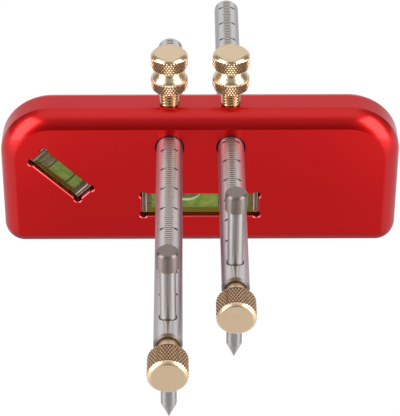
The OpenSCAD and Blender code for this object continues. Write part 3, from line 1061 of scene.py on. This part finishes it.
def rods_and_screws():
    """The rods with their marks, the pins, and the lock and clamp screws."""
    steel = ground_steel()
    ink = mark_ink()
    polished = pin_steel("polished_steel", POLISHED_STEEL, rough=0.4)
    satin = pin_steel("satin_steel", SATIN_STEEL, rough=0.34)
    # The lock screws' knurl and threads take painted shade in their grooves
    lock_brasses = [
        turned_brass("turned_brass", PLAIN_BRASS, rough=0.24),
        turned_brass("lock_knurl_brass", BRIGHT_BRASS, rough=0.26,
                     cut=grooves(LOCK_R, LOCK_KNURL.depth, floor=0.8)),
        turned_brass("lock_thread_brass", THREAD_BRASS, rough=0.16,
                     cut=grooves(LOCK_THREAD_R, LOCK_PITCH, floor=0.6)),
    ]
    # The clamp knobs' knurl takes deeper painted shade in its grooves, and their threads are painted all in
    # shaded brass
    clamp_brasses = [
        turned_brass("satin_brass", SATIN_BRASS, rough=0.32),
        turned_brass("clamp_knurl_brass", PINK_BRASS, rough=0.2,
                     cut=grooves(CLAMP_R, CLAMP_KNURL.depth, floor=0.8, crest=0.2), groove_shade=DEEPER_SHADED_BRASS),
        turned_brass("clamp_thread_brass", SHADED_BRASS, rough=0.3,
                     cut=grooves(CLAMP_THREAD_R, CLAMP_PITCH, floor=0.6)),
    ]
    for side in SIDES:
        paint_solid(f"{side}_rod", steel)
        scale_marks(side, ink)
        # A painted dark ring of shade round each pin's hole
        hole_shade_ring(side, ink)
        scribe_pin(side, polished, satin)
        lock_screw(side, lock_brasses)
        clamp_screw(side, clamp_brasses)


def spirit_levels():
    """Both levels: clear block, end caps, liquid, bubble and black lines."""
    # Painted green glow in the blocks: stronger in the straight level, fainter in the angled one
    blocks = {
        "level": clear_acrylic("lit_acrylic", glow=0.055),
        "angle": clear_acrylic("dim_acrylic", glow=0.02),
    }
    caps = cap_acrylic()
    edge_highlight = cap_edge_highlight()
    plugs = plug_plastic()
    liquid = green_liquid()
    clear = air()
    bright = bubble_edge_highlight()
    line = black_line()
    for kind in LEVELS:
        level_block(kind, blocks[kind])
        level_caps(kind, caps, edge_highlight, plugs)
        level_liquid(kind, liquid)
        level_bubble(kind, clear, bright)
        paint_solid(f"{kind}_rings", line)


# Studio

FLOOR_SIZE = 6.0
FLOOR_DROP = 0.02 * MM
FLOOR_PAINT = (0.8, 0.8, 0.8)
# How bright the floor's white is, and its share in what the camera sees: the rest is paint, which takes the
# shadow
FLOOR_LIGHT = 1.025
FLOOR_WHITE = 0.96
# What reflections see of the floor, painted light and shade by zone: under the fence (a painted shadow),
# before it
# # (painted shade), under the pins, before them, far ahead, beside the fence, beside the pins, and behind
# the fence
FLOOR_UNDER_SHADOW = 0.42
FLOOR_SHADE = 0.6
FLOOR_PINS = 0.76
FLOOR_FRONT = 0.64
FLOOR_FAR = 0.1
FLOOR_ASIDE = 0.68
FLOOR_BY_PINS = 1.0
FLOOR_BEHIND = 0.8
# Where one zone of the floor runs into the next
UNDER_X = (0.066, 0.06)
UNDER_Y = (0.015, 0.009)
PINS_Y = (-0.055, -0.08)
FRONT_Y = (-0.1, -0.12)
FAR_Y = (-0.25, -0.4)
ASIDE_X = (0.04, 0.07)
BY_PINS_Y = (-0.04, -0.07)
BEHIND_Y = (0.01, 0.04)
# Light of the room, low, at half height and overhead: at the front, the sides and the back
ROOM = ((0.05, 0.18, 0.74), (0.22, 0.18, 0.74), (0.78, 0.75, 0.75))
# Where one zone of the room runs into the next, by the heading's part along Y and by the direction's height
ROOM_FRONT = (-0.45, -0.85)
ROOM_BACK = (0.5, 0.85)
ROOM_HALF_HEIGHT = (0.3, 0.6)
ROOM_OVERHEAD = (0.78, 0.97)
# Softboxes: where they hang, how large and strong they are, and where they face
OVERHEAD_PLACE = (0, -0.07, 0.75)
OVERHEAD_SIZE = (0.7, 0.5)
OVERHEAD_POWER = 0.1
SIDE_PLACE = (0.66, -0.34, 0.36)
SIDE_SIZE = (0.6, 0.8)
SIDE_POWER = 4.6
LAMP_AIM = Vector((0, 0, 0.03))


def floor_glow(tree):
    """What reflections see of the floor: painted light and shade in zones that run into each other, with a
    painted shadow under the fence.
    """
    x, y, _ = axes(tree, place_on(tree, "Object"))
    aside = unsigned(tree, x)
    ahead = between(tree, eased(tree, y, *PINS_Y), FLOOR_SHADE, FLOOR_PINS)
    ahead = between(tree, eased(tree, y, *FRONT_Y), ahead, FLOOR_FRONT)
    ahead = between(tree, eased(tree, y, *FAR_Y), ahead, FLOOR_FAR)
    beside = between(tree, eased(tree, y, *BY_PINS_Y), FLOOR_ASIDE, FLOOR_BY_PINS)
    bright = between(tree, eased(tree, aside, *ASIDE_X), ahead, beside)
    bright = between(tree, eased(tree, y, *BEHIND_Y), bright, FLOOR_BEHIND)
    # A painted shadow under the fence
    under_shadow = product(tree, eased(tree, aside, *UNDER_X), eased(tree, unsigned(tree, y), *UNDER_Y))
    return between(tree, under_shadow, bright, FLOOR_UNDER_SHADOW)


def mixed_shaders(tree, share, first, second):
    """A shader between two, by a share."""
    mix = tree.nodes.new("ShaderNodeMixShader")
    for socket, output in zip(mix.inputs, (share, first, second)):
        tree.links.new(output, socket)
    return mix.outputs[0]


def floor_white():
    """White to the camera, with a soft shadow, and painted zones of light and shade to reflections."""
    material = bpy.data.materials.new("floor_white")
    material.use_nodes = True
    tree = material.node_tree
    tree.nodes.clear()
    paint = tree.nodes.new("ShaderNodeBsdfDiffuse")
    feed(tree, paint.inputs["Color"], FLOOR_PAINT)
    white = tree.nodes.new("ShaderNodeEmission")
    feed(tree, white.inputs["Strength"], FLOOR_LIGHT)
    mirrored = tree.nodes.new("ShaderNodeEmission")
    feed(tree, mirrored.inputs["Strength"], floor_glow(tree))
    path = tree.nodes.new("ShaderNodeLightPath")
    shown = product(tree, path.outputs["Is Camera Ray"], FLOOR_WHITE)
    seen = math_node(tree, "MAXIMUM", path.outputs["Is Glossy Ray"], path.outputs["Is Transmission Ray"])
    direct = mixed_shaders(tree, shown, paint.outputs[0], white.outputs[0])
    output = tree.nodes.new("ShaderNodeOutputMaterial")
    tree.links.new(mixed_shaders(tree, seen, direct, mirrored.outputs[0]), output.inputs["Surface"])
    return material


def pale_floor():
    """The floor that the gauge stands on."""
    half = FLOOR_SIZE / 2
    corners = [(-half, -half, 0), (half, -half, 0), (half, half, 0), (-half, half, 0)]
    mesh = bpy.data.meshes.new("floor")
    mesh.from_pydata(corners, [], [(0, 1, 2, 3)])
    mesh.materials.append(floor_white())
    floor = bpy.data.objects.new("floor", mesh)
    bpy.context.scene.collection.objects.link(floor)
    floor.location.z = cad_low.z - FLOOR_DROP


def room_light():
    """Soft light from all round, in zones that run into each other."""
    world = bpy.data.worlds.new("room")
    bpy.context.scene.world = world
    world.use_nodes = True
    tree = world.node_tree
    background = tree.nodes["Background"]
    feed(tree, background.inputs["Color"], WHITE)
    x, y, z = axes(tree, place_on(tree, "Generated"))
    heading = math_node(tree, "DIVIDE", y, distance(tree, x, y))
    front = eased(tree, heading, *ROOM_FRONT)
    back = eased(tree, heading, *ROOM_BACK)
    zones = []
    for front_light, side_light, back_light in ROOM:
        ahead = between(tree, front, side_light, front_light)
        zones.append(between(tree, back, ahead, back_light))
    low, half_height, overhead = zones
    strength = between(tree, eased(tree, z, *ROOM_HALF_HEIGHT), low, half_height)
    strength = between(tree, eased(tree, z, *ROOM_OVERHEAD), strength, overhead)
    tree.links.new(strength, background.inputs["Strength"])


def softbox(name, place, size, power):
    """A soft lamp that faces the object."""
    lamp = bpy.data.lights.new(name, "AREA")
    lamp.shape = "RECTANGLE"
    lamp.size, lamp.size_y = size
    lamp.energy = power
    holder = bpy.data.objects.new(name, lamp)
    bpy.context.scene.collection.objects.link(holder)
    holder.location = place
    aim = LAMP_AIM - holder.location
    holder.rotation_euler = aim.to_track_quat("-Z", "Y").to_euler()


def studio():
    """Floor, room and lamps."""
    pale_floor()
    room_light()
    softbox("overhead_softbox", OVERHEAD_PLACE, OVERHEAD_SIZE, OVERHEAD_POWER)
    x, y, z = SIDE_PLACE
    softbox("left_softbox", (-x, y, z), SIDE_SIZE, SIDE_POWER)
    softbox("right_softbox", (x, y, z), SIDE_SIZE, SIDE_POWER)


def camera():
    """The camera, at the photograph's viewing angle."""
    lens = bpy.data.cameras.new("camera")
    lens.lens = CAMERA_LENS
    lens.sensor_width = CAMERA_SENSOR
    lens.shift_x = CAMERA_SHIFT
    lens.clip_end = CAMERA_CLIP
    holder = bpy.data.objects.new("camera", lens)
    bpy.context.scene.collection.objects.link(holder)
    tilt = Matrix.Rotation(math.radians(90) - CAMERA_PITCH, 4, "X")
    roll = Matrix.Rotation(CAMERA_ROLL, 4, "Z")
    holder.matrix_world = Matrix.Translation(CAMERA_PLACE) @ tilt @ roll
    bpy.context.scene.camera = holder


camera()
paint_solid("fence_body", red_anodised())
rods_and_screws()
spirit_levels()
studio()
bpy.context.scene.view_settings.view_transform = "Standard"
